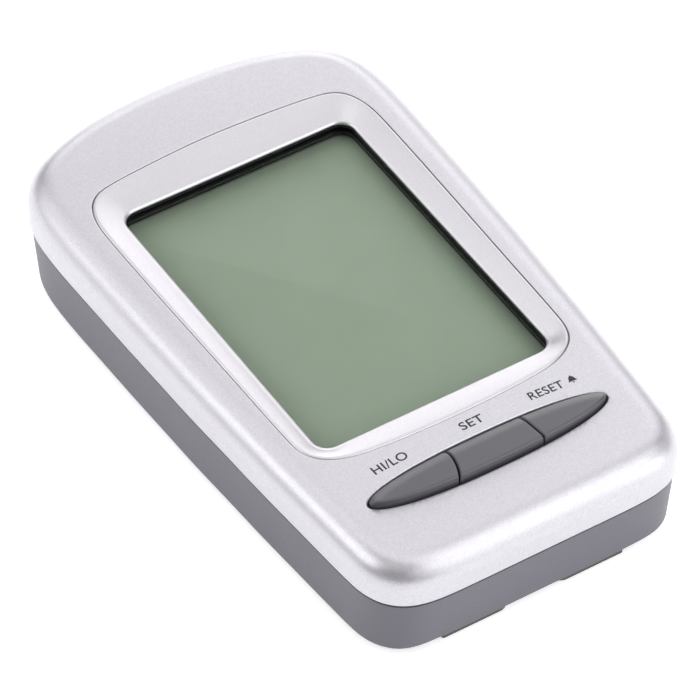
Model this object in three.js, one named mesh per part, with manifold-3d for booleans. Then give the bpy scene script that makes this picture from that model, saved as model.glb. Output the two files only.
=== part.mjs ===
// Digital maximum-minimum thermometer: a hand-sized case with a large display, three keys,
// a fold-out desk stand and one AAA cell. Millimetres, +Z out of the display, +Y towards the arched top.
// The origin is the centre of the footprint, on the plane that the object lies on.
import * as THREE from 'three';
import { mergeVertices } from 'three/addons/utils/BufferGeometryUtils.js';
import Module from 'manifold-3d';

const wasm = await Module();
wasm.setup();

// ---------- driving dimensions ----------
const U = 0.965;                 // mm per unit of the outline tables
const Y_WINDOW = 3.25;           // display window centre
const H = 21.7;                  // front face of the case
const SPLIT_Z = 13.8;            // lower edge of the front cover
const GAP = 0.3;                 // clearance between pieces that touch
const WALL = 1.8;                // case wall
const EDGE_R = 4.9;              // rounding of the front edge
const FLOOR_Z = 1.7;             // outside of the rear cover's floor
const FLOOR_T = 1.9;
const CROWN = 0.5;               // fall of the front face towards the arched end
const WINDOW = { w: 44.4, h: 63.2, r: 2.7, drop: 1.1 };
const KEY = { y: -43.1, a: 22.8, b: 3.95, p: 2.4, rise: 1.05, slope: 0.12, travel: 0.7 };
// the gaps' X positions from the keys' lower edge to their upper edge
const KEY_GAPS = { left: [-8.1, -7.25, -6.6, -6.2, -6.1], right: [8.15, 8.35, 8.3, 8.15, 7.95] };
const STAND = { w: 34.9, toeY: -57.0, notchW: 8.5, notchL: 12, t: 1.4, axisY: 1.5, axisZ: 3.2, barrelR: 1.7, pinR: 1.0 };
const PLATEAU = { x: 29, y0: 6.2, y1: 33 };
const DOOR = { x: 25.7, y0: 12.3, y1: 33, t: 1.5, tongue: 1.2 };
const CELL = { r: 5.25, len: 44.5, y: 21, z: 7.2, x0: -21.2 };
const BOARD = { z0: 12.3, t: 1.2 };
const LCD = { w: 48, h: 66.6, z0: 15.4, t: 1.8 };
const KEYHOLE = { y: 41.5, r: 4.3, slotW: 4.4, slotTop: 49.5 };
const CASE_SCREWS = [[-24.4, -48.8], [24.4, -48.8], [-25.5, 40.6], [25.5, 40.6]];
const BOARD_SCREWS = [[-24, -35], [24, -35], [-17.4, -53], [17.4, -53]];

// right half of each closed outline, from the middle of the bottom edge to the middle of the top, in units
const CASE_HALF = [[0, -65.5], [7, -65.5], [14, -65.5], [18.7, -65.4], [22.7, -65.0], [26.4, -63.7], [29.2, -61.1], [30.85, -57.4], [31.45, -53], [31.85, -48],
  [32.5, -38.6], [33.15, -29], [33.65, -19.2], [34.2, -9.3], [34.55, 0.8], [34.9, 11], [35.15, 21.4], [35.35, 30], [35.3, 36.5], [34.95, 41.0], [34.1, 44.9],
  [32.6, 48.3], [30.4, 51.0], [27.5, 53.2], [24, 54.9], [18, 56.95], [12, 58.05], [6, 58.65], [0, 58.83]];
const GROOVE_HALF = [[0, -38.5], [8, -38.35], [15, -37.9], [20, -37.2], [23.4, -35.8], [25.7, -33.7], [26.8, -30.8], [27.05, -27], [27.35, -12], [27.6, 0], [27.88, 14],
  [28.0, 27], [27.85, 31.5], [27.2, 34.6], [25.9, 37.2], [23.7, 38.9], [20, 39.75], [12, 40.5], [6, 40.85], [0, 41.0]];

// ---------- outlines ----------
function closedOutline(half, n) {
  const right = half.map(([x, y]) => new THREE.Vector3(x * U, (y + 3.35) * U, 0));
  const left = right.slice(1, -1).reverse().map((p) => new THREE.Vector3(-p.x, p.y, 0));
  const curve = new THREE.CatmullRomCurve3([...right, ...left], true, 'centripetal');
  curve.arcLengthDivisions = 2000;
  const pts = curve.getSpacedPoints(n).slice(0, n).map((p) => new THREE.Vector2(p.x, p.y));
  // the two halves are made exactly alike
  return pts.map((p, i) => {
    const q = pts[(n - i) % n];
    return new THREE.Vector2((p.x - q.x) / 2, (p.y + q.y) / 2);
  });
}
function inset(pts, d) {
  const n = pts.length;
  return pts.map((p, i) => {
    const t = pts[(i + 1) % n].clone().sub(pts[(i + n - 1) % n]).normalize();
    return new THREE.Vector2(p.x - t.y * d, p.y + t.x * d);
  });
}
function roundRect(w, h, r, cx = 0, cy = 0, seg = 4) {
  const pts = [];
  const corners = [[w / 2 - r, -h / 2 + r, -Math.PI / 2], [w / 2 - r, h / 2 - r, 0], [-w / 2 + r, h / 2 - r, Math.PI / 2], [-w / 2 + r, -h / 2 + r, Math.PI]];
  for (const [x, y, a0] of corners)
    for (let i = 0; i <= seg; i++) {
      const a = a0 + (i / seg) * Math.PI / 2;
      pts.push(new THREE.Vector2(cx + x + r * Math.cos(a), cy + y + r * Math.sin(a)));
    }
  return pts;
}
// the keys' oval, with ends a little blunter than an ellipse's
function oval(a, b, cy, n) {
  return Array.from({ length: n }, (_, i) => {
    const t = (i / n) * 2 * Math.PI, c = Math.cos(t);
    return new THREE.Vector2(a * Math.sign(c) * Math.pow(Math.abs(c), 2 / KEY.p), cy + b * Math.sin(t));
  });
}

// ---------- solids ----------
function toSolid(geometry) {
  const g = geometry.index ? geometry.toNonIndexed() : geometry.clone();
  for (const k of Object.keys(g.attributes)) if (k !== 'position') g.deleteAttribute(k);
  const m = mergeVertices(g, 1e-4);
  const tris = [];
  for (let i = 0; i < m.index.count; i += 3) {
    const [a, b, c] = [m.index.getX(i), m.index.getX(i + 1), m.index.getX(i + 2)];
    if (a !== b && b !== c && c !== a) tris.push(a, b, c);
  }
  // faces point outwards whichever way the profile was drawn
  const p = m.attributes.position;
  let volume = 0;
  const v = [new THREE.Vector3(), new THREE.Vector3(), new THREE.Vector3()];
  for (let i = 0; i < tris.length; i += 3) {
    for (let k = 0; k < 3; k++) v[k].fromBufferAttribute(p, tris[i + k]);
    volume += v[0].dot(v[1].cross(v[2]));
  }
  if (volume < 0) tris.reverse();
  return new wasm.Manifold(new wasm.Mesh({ numProp: 3, vertProperties: new Float32Array(p.array), triVerts: new Uint32Array(tris) }));
}
function toGeometry(solid) {
  const m = solid.getMesh();
  const g = new THREE.BufferGeometry();
  const n = m.numProp;
  const pos = new Float32Array((m.vertProperties.length / n) * 3);
  for (let i = 0; i < pos.length / 3; i++) for (let k = 0; k < 3; k++) pos[3 * i + k] = m.vertProperties[n * i + k];
  g.setAttribute('position', new THREE.BufferAttribute(pos, 3));
  g.setIndex(new THREE.BufferAttribute(new Uint32Array(m.triVerts), 1));
  g.computeVertexNormals();
  return g;
}
const join = (...s) => s.reduce((a, b) => a.add(b));
const cut = (a, ...s) => s.reduce((x, b) => x.subtract(b), a);

function prismGeometry(pts, z0, z1, holes = []) {
  const shape = new THREE.Shape(pts);
  for (const h of holes) shape.holes.push(new THREE.Path(h));
  return new THREE.ExtrudeGeometry(shape, { depth: z1 - z0, bevelEnabled: false, steps: 1, curveSegments: 8 }).translate(0, 0, z0);
}
const prism = (pts, z0, z1, holes) => toSolid(prismGeometry(pts, z0, z1, holes));
// a prism whose two ends are rounded by size (sideways) and thick (along Z)
function pillow(pts, z0, z1, size, thick, segments) {
  return new THREE.ExtrudeGeometry(new THREE.Shape(pts), { depth: z1 - z0 - 2 * thick, bevelEnabled: true, bevelThickness: thick, bevelSize: size, bevelOffset: -size,
    bevelSegments: segments, steps: 1 }).translate(0, 0, z0 + thick);
}
// the oval drawn up through layers of [height, inset]
function layered(a, b, cy, layers, n = 40) {
  const g = new THREE.ExtrudeGeometry(new THREE.Shape(oval(a, b, cy, n)), { depth: layers.length - 1, steps: layers.length - 1, bevelEnabled: false });
  return bend(g, (x, y, z) => { const [h, d] = layers[Math.round(z)]; return [x * (a - d) / a, cy + (y - cy) * (b - d) / b, h]; });
}
const boxGeometry = (x0, x1, y0, y1, z0, z1) => new THREE.BoxGeometry(x1 - x0, y1 - y0, z1 - z0).translate((x0 + x1) / 2, (y0 + y1) / 2, (z0 + z1) / 2);
const box = (...a) => toSolid(boxGeometry(...a));
const rod = (r, z0, z1, x, y, n = 16) => toSolid(new THREE.CylinderGeometry(r, r, z1 - z0, n).rotateX(Math.PI / 2).translate(x, y, (z0 + z1) / 2));
const rodX = (r, x0, x1, y, z, n = 16) => toSolid(new THREE.CylinderGeometry(r, r, x1 - x0, n).rotateZ(Math.PI / 2).translate((x0 + x1) / 2, y, z));
function turned(profile, n = 16) {
  return new THREE.LatheGeometry(profile.map(([r, z]) => new THREE.Vector2(r, z)), n).rotateX(Math.PI / 2);
}
function tube(points, r, steps, sides = 6) {
  const path = new THREE.CatmullRomCurve3(points.map((p) => new THREE.Vector3(...p)), false, 'centripetal');
  const section = new THREE.Shape(Array.from({ length: sides }, (_, i) => new THREE.Vector2(r * Math.cos((2 * Math.PI * i) / sides), r * Math.sin((2 * Math.PI * i) / sides))));
  return new THREE.ExtrudeGeometry(section, { steps, extrudePath: path, bevelEnabled: false });
}
function bend(geometry, fn) {
  const p = geometry.attributes.position;
  for (let i = 0; i < p.count; i++) {
    const v = fn(p.getX(i), p.getY(i), p.getZ(i));
    p.setXYZ(i, v[0], v[1], v[2]);
  }
  return geometry;
}

const group = new THREE.Group();
function add(name, shape, colour, roughness, metalness = 0, extra = {}) {
  const geometry = shape.isBufferGeometry ? shape : toGeometry(shape);
  const mesh = new THREE.Mesh(geometry, new THREE.MeshStandardMaterial({ color: colour, roughness, metalness, ...extra }));
  mesh.name = name;
  group.add(mesh);
  return mesh;
}
const SILVER = 0xdddae0, GREY = 0x7d7c84, KEY_GREY = 0x6b6a70, BLACK = 0x1c1c1e, STEEL = 0xb8bcc2, GREEN_BOARD = 0x2d6b45;

// ---------- outlines in mm ----------
const caseLine = closedOutline(CASE_HALF, 84);
const grooveLine = closedOutline(GROOVE_HALF, 60);
const windowLine = roundRect(WINDOW.w, WINDOW.h, WINDOW.r, 0, Y_WINDOW, 5);
const grooveTop = Math.max(...grooveLine.map((p) => p.y));
const crownAt = (y) => { const t = Math.max(0, (y - grooveTop) / (60 - grooveTop)); return CROWN * t * t; };

// ---------- front cover: a rounded shell with a stepped bezel pocket, a key slot and screw bosses ----------
const SKIN = WALL;
const POCKET = 1.5;
{
  let body = toSolid(bend(pillow(caseLine, SPLIT_Z - 12, H, EDGE_R, EDGE_R, 4), (x, y, z) => [x, y, z > SPLIT_Z ? z - crownAt(y) * Math.min(1, (z - SPLIT_Z) / (H - SPLIT_Z)) : z]));
  body = cut(body, box(-50, 50, -80, 80, -20, SPLIT_Z));
  const hollow = toSolid(bend(pillow(inset(caseLine, WALL), SPLIT_Z - 10, H - SKIN, 3.2, 3.2, 2), (x, y, z) => [x, y, z > SPLIT_Z ? z - crownAt(y) * Math.min(1, (z - SPLIT_Z) / (H - SPLIT_Z)) : z]));
  body = cut(body, hollow);
  for (const [x, y] of [...CASE_SCREWS, ...BOARD_SCREWS]) body = join(body, rod(2.5, BOARD.z0 + BOARD.t + GAP, H - SKIN + 0.6, x, y, 12));
  body = cut(body, prism(grooveLine, H - POCKET, H + 4), prism(inset(grooveLine, 1.9), H - 6, H + 1), prism(oval(KEY.a, KEY.b, KEY.y, 40), H - 6, H + 4));
  for (const [x, y] of [...CASE_SCREWS, ...BOARD_SCREWS]) body = cut(body, rod(1.3, 8, H - SKIN - 0.2, x, y, 10));
  add('front_cover', body, SILVER, 0.42, 0.35);
}

// ---------- display bezel: a dished frame, flush with the cover at its outline, lower at the window ----------
{
  const rim = inset(grooveLine, GAP);
  const onWindow = (x, y) => Math.abs(x) < WINDOW.w / 2 + 0.05 && Math.abs(y - Y_WINDOW) < WINDOW.h / 2 + 0.05;
  const face = bend(prismGeometry(rim, H - 1.2, H, [windowLine.slice().reverse()]), (x, y, z) => {
    if (z > H - 0.5) return [x, y, onWindow(x, y) ? H - WINDOW.drop : H - 0.15];
    return [x, y, z];
  });
  const neck = prism(inset(grooveLine, 2.3), H - 2.1, H - 1.2, [windowLine.slice().reverse()]);
  const faceSolid = toSolid(face);
  add('display_bezel', join(faceSolid, neck), 0xe4e1e8, 0.3, 0.6);
}

// ---------- display stack ----------
const LENS_Z = H - 3.2;
add('display_lens', prism(roundRect(47.2, 66, 2, 0, Y_WINDOW, 3), LENS_Z, LENS_Z + 0.8), 0xf2f6f2, 0.05, 0, { transparent: true, opacity: 0.3 });
{
  const cy = Y_WINDOW;
  let frame = prism(roundRect(50.8, 69.4, 2.2, 0, cy, 3), LCD.z0, H - 2.1 - GAP);
  frame = cut(frame, prism(roundRect(WINDOW.w + 0.3, WINDOW.h + 0.3, 2.6, 0, cy, 4), 10, 20), prism(roundRect(47.8, 66.6, 2.2, 0, cy, 3), LENS_Z - GAP, 20),
    prism(roundRect(LCD.w + 0.6, LCD.h + 0.6, 1, 0, cy, 2), 10, LCD.z0 + LCD.t + GAP));
  add('lcd_frame', frame, BLACK, 0.6);
}
add('lcd_panel', prism(roundRect(LCD.w, LCD.h, 0.6, 0, Y_WINDOW, 2), LCD.z0, LCD.z0 + LCD.t), 0x8f9f8a, 0.35);
add('zebra_strip', box(-22, 22, -29.4, -27.2, BOARD.z0 + BOARD.t + GAP, LCD.z0 - GAP), 0xd8a7a0, 0.8);

// ---------- circuit board and what is on it ----------
{
  const b = new THREE.Shape([[-20, -56], [20, -56], [20, -44.5], [27, -44.5], [27, 11.6], [-27, 11.6], [-27, -44.5], [-20, -44.5]].map(([x, y]) => new THREE.Vector2(x, y)));
  let board = toSolid(new THREE.ExtrudeGeometry(b, { depth: BOARD.t, bevelEnabled: false }).translate(0, 0, BOARD.z0));
  for (const [x, y] of BOARD_SCREWS) board = cut(board, rod(1.4, 5, 15, x, y, 12));
  add('circuit_board', board, GREEN_BOARD, 0.5);
}
const UNDER = BOARD.z0 - GAP;    // components hang below the board
add('controller_blob', toSolid(turned([[0, 0], [5.6, 0], [5.2, -0.7], [3.6, -1.3], [0, -1.6]].reverse(), 20).translate(0, -12, UNDER)), 0x141414, 0.35);
add('quartz_crystal', toSolid(new THREE.CapsuleGeometry(1.0, 5, 3, 10).translate(11, -14, UNDER - 1.1)), STEEL, 0.3, 0.9);
add('capacitor', toSolid(turned([[0, 0], [2.4, 0], [2.5, -0.4], [2.5, -4.3], [2.2, -4.7], [0, -4.7]].reverse(), 16).translate(-12, -22, UNDER)), 0x24304a, 0.4);
add('temperature_sensor', join(toSolid(new THREE.SphereGeometry(1.5, 12, 8).translate(24, -40.6, 6.6)),
  toSolid(tube([[23.2, -40.6, 7.4], [23.0, -40.2, 9], [23.0, -39.5, UNDER]], 0.3, 5)), toSolid(tube([[24.8, -40.6, 7.4], [25.0, -40.2, 9], [25.0, -39.5, UNDER]], 0.3, 5))), 0x2a2320, 0.4);

// ---------- keys, their rubber mat and domes ----------
const keyX = { left: -14.6, middle: 0, right: 14.6 };
{
  const z0 = BOARD.z0 + BOARD.t + GAP;
  let mat = prism(roundRect(39, 7.6, 1.5, 0, KEY.y, 3), z0, z0 + 0.9);
  for (const x of Object.values(keyX)) mat = cut(mat, rod(3.1, z0 - 1, z0 + 3, x, KEY.y, 16));
  add('keypad_mat', mat, 0xc9c9c4, 0.85);
  for (const [name, x] of Object.entries(keyX))
    add(`dome_${name}`, toSolid(turned([[0, 2.2], [1.5, 2.2], [1.9, 1.0], [2.7, 0.6], [2.7, 0], [0, 0]], 16).translate(x, KEY.y, z0)), 0xd2d2cc, 0.85);
}
{
  // the gaps between the keys: the left one bows to the right and leans out towards the lower edge, the right one is nearly straight
  const yTop = KEY.y + KEY.b, yLow = KEY.y - KEY.b;
  const gapLine = (table) => (y) => {
    const t = (Math.min(yTop, Math.max(yLow, y)) - yLow) / (yTop - yLow) * (table.length - 1), i = Math.min(table.length - 2, Math.floor(t));
    return table[i] + (table[i + 1] - table[i]) * (t - i);
  };
  const gapLeft = gapLine(KEY_GAPS.left), gapRight = gapLine(KEY_GAPS.right);
  const ys = Array.from({ length: 13 }, (_, i) => KEY.y - 6 + i);
  const side = (gap, off) => ys.map((y) => new THREE.Vector2(gap(y) + off, y));
  const region = {
    left: [...side(gapLeft, -0.15), new THREE.Vector2(-40, KEY.y + 6), new THREE.Vector2(-40, KEY.y - 6)],
    middle: [...side(gapRight, -0.15), ...side(gapLeft, 0.15).reverse()],
    right: [...side(gapRight, 0.15).reverse(), new THREE.Vector2(40, KEY.y - 6), new THREE.Vector2(40, KEY.y + 6)],
  };
  const seat = H - SKIN - GAP;
  const hump = (x, y, z) => [x, y, z > H - 0.5 ? z + KEY.slope * (KEY.y - y) : z];
  for (const name of ['left', 'middle', 'right']) {
    const zone = (pts) => prism(THREE.ShapeUtils.area(pts) < 0 ? pts.slice().reverse() : pts, 0, 40);
    const cap = toSolid(bend(layered(KEY.a - 0.35, KEY.b - 0.4, KEY.y, [[seat - 1, 0], [H + KEY.rise - 0.7, 0], [H + KEY.rise - 0.25, 0.25], [H + KEY.rise, 0.8]]), hump));
    const flange = prism(oval(KEY.a + 0.9, KEY.b + 0.9, KEY.y, 40), seat - 1.2, seat);
    const post = rod(2.2, BOARD.z0 + BOARD.t + 2 * GAP + 2.2, seat - 1, keyX[name], KEY.y, 14);
    add(`key_${name}`, join(cap, flange).intersect(zone(region[name])).add(post), KEY_GREY, 0.35);
  }
}

// ---------- rear cover: tapered tray with a battery plateau, stand pocket, keyhole, bosses and vents ----------
const RIM_Z = SPLIT_Z - GAP;
const DRAFT = { x: 0.011, y: 0.028 };
const taper = (x, y, z) => {
  const t = Math.min(1, Math.max(0, (RIM_Z - z) / (RIM_Z - FLOOR_Z)));
  const corner = THREE.MathUtils.smoothstep(Math.abs(x), 18, 27) * (y < 0 ? 0.3 : 0);
  return [x * (1 - DRAFT.x * t), y * (1 - DRAFT.y * (1 - corner) * t), z];
};
const rearLine = inset(caseLine, 0.35);
{
  let body = toSolid(bend(pillow(rearLine, FLOOR_Z, RIM_Z + 8, 0.6, 0.6, 2), taper));
  body = cut(body, box(-50, 50, -80, 80, RIM_Z, 40));
  body = cut(body, toSolid(bend(prismGeometry(inset(rearLine, WALL), FLOOR_Z + FLOOR_T, RIM_Z + 5), taper)));
  // tongue that enters the front cover
  body = join(body, prism(inset(caseLine, WALL + GAP), RIM_Z - 0.6, RIM_Z + 1.6, [inset(caseLine, WALL + GAP + 1).reverse()]));
  // battery plateau
  body = join(body, toSolid(pillow(roundRect(2 * PLATEAU.x, PLATEAU.y1 - PLATEAU.y0, 3, 0, (PLATEAU.y0 + PLATEAU.y1) / 2, 4), 0, 6, 0.5, 0.5, 2)).intersect(box(-40, 40, 0, 40, 0, FLOOR_Z + 1)));
  // battery box, closed above, and the stand's hinge box
  const bx = DOOR.x + 0.6, wy0 = CELL.y - 6.4, wy1 = CELL.y + 6.4;
  body = join(body, box(-bx, bx, wy0 - 1.2, wy1 + 1.2, FLOOR_Z + 1, 13.8));
  const px = STAND.w / 2 + 0.3, py0 = STAND.axisY - 2.6, py1 = PLATEAU.y0 - 0.6;
  body = join(body, box(-px - 1.8, px + 1.8, py0 - 1.4, py1 + 1.4, FLOOR_Z + 1, 6.9));
  body = cut(body, box(-px, px, py0, py1, -1, 5.5));
  body = cut(body, box(-bx + 1.2, bx - 1.2, wy0, wy1, -1, 12.8));
  // recess and side grooves for the sliding door, open at the plateau's upper edge
  body = cut(body, box(-DOOR.x - GAP, DOOR.x + GAP, DOOR.y0 - GAP, PLATEAU.y1 + 1, -1, DOOR.t + GAP));
  body = cut(body, box(-DOOR.x - DOOR.tongue - GAP, DOOR.x + DOOR.tongue + GAP, DOOR.y0 - GAP, PLATEAU.y1 + 1, 0.6, DOOR.t + GAP));
  // hinge holes for the stand's stub pins
  body = cut(body, rodX(STAND.pinR + 0.25, -px - 1.5, px + 1.5, STAND.axisY, STAND.axisZ, 14));
  // keyhole for a wall screw
  body = cut(body, rod(KEYHOLE.r, -1, 6, 0, KEYHOLE.y, 20), box(-KEYHOLE.slotW / 2, KEYHOLE.slotW / 2, KEYHOLE.y, KEYHOLE.slotTop, -1, 6));
  // screw bosses with countersunk wells
  for (const [x, y] of CASE_SCREWS) body = join(body, rod(3.9, FLOOR_Z + 0.5, BOARD.z0 + BOARD.t - 0.2, x, y, 14));
  for (const [x, y] of CASE_SCREWS) body = cut(body, rod(2.7, -1, 9.2, x, y, 14), rod(1.4, 5, 17, x, y, 10));
  // air slots over the sensor, sound holes under the buzzer
  for (let i = 0; i < 5; i++) body = cut(body, prism(roundRect(6.4, 1.3, 0.6, 24, -40.6 + (i - 2) * 2.5, 2), -1, 6));
  for (let i = 0; i < 6; i++) {
    const a = (i * Math.PI) / 3, r = i ? 2.6 : 2.6;
    body = cut(body, rod(0.6, -1, 6, -13.6 + r * Math.cos(a), 43 + r * Math.sin(a), 8));
  }
  body = cut(body, rod(0.6, -1, 6, -13.6, 43, 8));
  add('rear_cover', body, GREY, 0.5);
}

// ---------- battery, contacts and sliding door ----------
{
  let door = box(-DOOR.x, DOOR.x, DOOR.y0, DOOR.y1, 0, DOOR.t);
  door = join(door, box(-DOOR.x - DOOR.tongue, DOOR.x + DOOR.tongue, DOOR.y0, DOOR.y1 - 1, 0.9, DOOR.t));
  for (let i = 0; i < 4; i++) door = cut(door, box(-7, 7, 27.3 + i * 1.3, 27.9 + i * 1.3, -1, 0.5));
  add('battery_cover', door, GREY, 0.5);
}
{
  const { r, len, y, z, x0 } = CELL;
  add('battery', toSolid(turned([[0, 0], [r - 0.5, 0], [r, 0.5], [r, len - 1.8], [r - 0.5, len - 1.2], [1.9, len - 1.2], [1.9, len], [0, len]].reverse(), 24)
    .rotateY(Math.PI / 2).translate(x0, y, z)), 0x3b6fa8, 0.35, 0.2);
  const coil = Array.from({ length: 31 }, (_, i) => { const t = i / 30, a = t * 2 * Math.PI * 2.5, rr = 3.6 - 1.6 * t; return [-24.3 + 2.7 * t, y + rr * Math.cos(a), z + rr * Math.sin(a)]; });
  add('battery_spring', toSolid(tube(coil, 0.3, 50)), STEEL, 0.25, 1);
  add('battery_contact', join(box(CELL.x0 + CELL.len + GAP, CELL.x0 + CELL.len + GAP + 0.5, y - 4, y + 4, z - 4, z + 4), rodX(1.2, CELL.x0 + CELL.len + 0.6, CELL.x0 + CELL.len + 1.3, y, z, 10)), STEEL, 0.25, 1);
}

// ---------- fold-out desk stand: two toes, a notch between them, a barrel with stub pins ----------
{
  // the toes' outer corners are nearly square, their inner corners rounded
  const w = STAND.w / 2, n = STAND.notchW / 2, y0 = STAND.toeY, yn = STAND.toeY + STAND.notchL, y1 = STAND.axisY + 1.6, o = 0.5, r = 2.2;
  const s = new THREE.Shape();
  s.moveTo(-w + o, y0); s.lineTo(-n - r, y0); s.quadraticCurveTo(-n, y0, -n, y0 + r); s.lineTo(-n, yn - 3);
  s.quadraticCurveTo(-n, yn, -n + 3, yn); s.lineTo(n - 3, yn); s.quadraticCurveTo(n, yn, n, yn - 3); s.lineTo(n, y0 + r);
  s.quadraticCurveTo(n, y0, n + r, y0); s.lineTo(w - o, y0); s.quadraticCurveTo(w, y0, w, y0 + o);
  s.lineTo(w, y1 - 1); s.lineTo(w - 1, y1); s.lineTo(-w + 1, y1); s.lineTo(-w, y1 - 1); s.lineTo(-w, y0 + o); s.quadraticCurveTo(-w, y0, -w + o, y0);
  const plate = toSolid(new THREE.ExtrudeGeometry(s, { depth: STAND.t, bevelEnabled: false, curveSegments: 5 }));
  const barrel = rodX(STAND.barrelR, -w, w, STAND.axisY, STAND.axisZ, 20);
  const web = box(-w, w, STAND.axisY - 1.2, STAND.axisY + 1.2, 1, STAND.axisZ);
  const pins = rodX(STAND.pinR, -w - 1.5, w + 1.5, STAND.axisY, STAND.axisZ, 14);
  add('stand', join(plate, barrel, web, pins), GREY, 0.5);
}

// ---------- buzzer and wires ----------
add('piezo_buzzer', toSolid(turned([[0, 0], [7, 0], [7, 0.3], [5.2, 0.35], [5.2, 0.6], [0, 0.6]], 24).translate(-13.6, 43, FLOOR_Z + FLOOR_T + GAP)), 0xc7a14a, 0.35, 0.8);
const WIRE = 0.5;
add('buzzer_lead_black', toSolid(tube([[-16.5, 41, 5.9], [-20.8, 36.8, 6.4], [-28.2, 31, 7.6], [-28.2, 12, 7.6], [-24, 5, 8.2], [-21, 3, UNDER - 0.6]], WIRE, 18)), 0x222222, 0.6);
add('buzzer_lead_red', toSolid(tube([[-12.5, 39.5, 5.9], [-17.5, 33.9, 6.8], [-26, 31.4, 9.6], [-29.8, 27, 9.8], [-29.8, 14, 9.8], [-25.5, 9.3, 10], [-22.8, 7.4, UNDER - 0.6]], WIRE, 18)), 0x8a1f1f, 0.6);
add('battery_lead_black', toSolid(tube([[-27.2, 21, 5.6], [-27.5, 13.9, 5.6], [-24, 10.6, 6.2], [-19, 9.4, UNDER - 0.6]], WIRE, 12)), 0x222222, 0.6);
add('battery_lead_red', toSolid(tube([[27.2, 21, 5.6], [27.5, 13.9, 5.6], [24, 10.6, 6.2], [19, 9.4, UNDER - 0.6]], WIRE, 12)), 0xa02020, 0.6);

// ---------- screws ----------
const screw = (x, y, zHead, headR, headH, r, len) => toSolid(turned([[0, 0], [headR, 0], [headR, headH * 0.5], [r, headH], [r, headH + len - 1], [0, headH + len]].map(([a, b]) => [a, b]), 12).translate(x, y, zHead));
CASE_SCREWS.forEach(([x, y], i) => add(`case_screw_${i + 1}`, screw(x, y, 7.6, 2.3, 1.3, 1.0, 9.5), STEEL, 0.3, 1));
BOARD_SCREWS.forEach(([x, y], i) => add(`board_screw_${i + 1}`, screw(x, y, BOARD.z0 - GAP - 1.0, 2.0, 1.0, 1.0, 6), STEEL, 0.3, 1));

export default group;
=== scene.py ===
import math

import bmesh
import bpy
import numpy as np
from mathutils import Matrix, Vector


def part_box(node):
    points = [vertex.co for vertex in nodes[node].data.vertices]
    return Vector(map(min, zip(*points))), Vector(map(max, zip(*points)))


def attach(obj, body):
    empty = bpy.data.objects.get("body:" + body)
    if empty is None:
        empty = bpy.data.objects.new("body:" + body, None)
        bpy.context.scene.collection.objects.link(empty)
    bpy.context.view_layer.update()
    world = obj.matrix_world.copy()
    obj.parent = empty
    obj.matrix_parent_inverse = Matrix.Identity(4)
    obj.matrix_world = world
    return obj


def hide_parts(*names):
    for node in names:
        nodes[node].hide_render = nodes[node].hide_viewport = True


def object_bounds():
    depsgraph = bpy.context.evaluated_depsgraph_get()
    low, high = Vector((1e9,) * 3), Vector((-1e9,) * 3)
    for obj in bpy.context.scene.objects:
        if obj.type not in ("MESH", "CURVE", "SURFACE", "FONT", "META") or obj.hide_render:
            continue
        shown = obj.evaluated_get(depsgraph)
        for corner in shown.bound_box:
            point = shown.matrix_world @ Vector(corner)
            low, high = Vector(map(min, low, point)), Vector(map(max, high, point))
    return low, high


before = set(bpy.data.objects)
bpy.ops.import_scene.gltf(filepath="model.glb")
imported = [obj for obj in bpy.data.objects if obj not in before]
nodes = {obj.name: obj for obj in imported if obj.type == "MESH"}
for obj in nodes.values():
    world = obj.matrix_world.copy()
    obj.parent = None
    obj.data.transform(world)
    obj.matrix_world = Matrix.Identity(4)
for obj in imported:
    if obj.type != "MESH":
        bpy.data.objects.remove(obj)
cad_lo, cad_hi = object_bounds()

# ------------------------------------------------------------------ sizes, in mm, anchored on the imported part
MM = 0.001


def node(name):
    lo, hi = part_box(name)
    return np.array(lo) / MM, np.array(hi) / MM


cover_lo, cover_hi = node("front_cover")
rear_lo, rear_hi = node("rear_cover")
H = cover_hi[2]                       # front face
SPLIT = cover_lo[2]                   # lower edge of the front cover
RIM = SPLIT - 0.3                     # upper edge of the rear cover
FLOOR = 1.7                           # outside of the rear cover's floor
KY, KA, KB, KP = -43.1, 22.8, 3.95, 2.4   # the keys' oval opening: its middle, half sizes and exponent
WY, WW, WH, WR = 3.25, 44.4, 63.2, 2.7  # display window
U = 0.965
CASE_HALF = [(0, -65.5), (7, -65.5), (14, -65.5), (18.7, -65.4), (22.7, -65.0), (26.4, -63.7), (29.2, -61.1), (30.85, -57.4), (31.45, -53), (31.85, -48),
             (32.5, -38.6), (33.15, -29), (33.65, -19.2), (34.2, -9.3), (34.55, 0.8), (34.9, 11), (35.15, 21.4), (35.35, 30), (35.3, 36.5), (34.95, 41.0),
             (34.1, 44.9), (32.6, 48.3), (30.4, 51.0), (27.5, 53.2), (24, 54.9), (18, 56.95), (12, 58.05), (6, 58.65), (0, 58.83)]
GROOVE_HALF = [(0, -38.5), (8, -38.35), (15, -37.9), (20, -37.2), (23.4, -35.8), (25.7, -33.7), (26.8, -30.8), (27.05, -27), (27.35, -12), (27.6, 0), (27.88, 14),
               (28.0, 27), (27.85, 31.5), (27.2, 34.6), (25.9, 37.2), (23.7, 38.9), (20, 39.75), (12, 40.5), (6, 40.85), (0, 41.0)]
GAP_LEFT = ([-47.3, -46.2, -45.0, -43.75, -42.4, -41.0, -39.7, -38.8], [-8.25, -7.6, -7.05, -6.6, -6.25, -6.1, -6.12, -6.2])
GAP_RIGHT = ([-47.3, -46.8, -45.7, -44.1, -41.8, -39.8, -38.8], [8.3, 8.35, 8.4, 8.3, 8.15, 7.95, 7.85])


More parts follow.
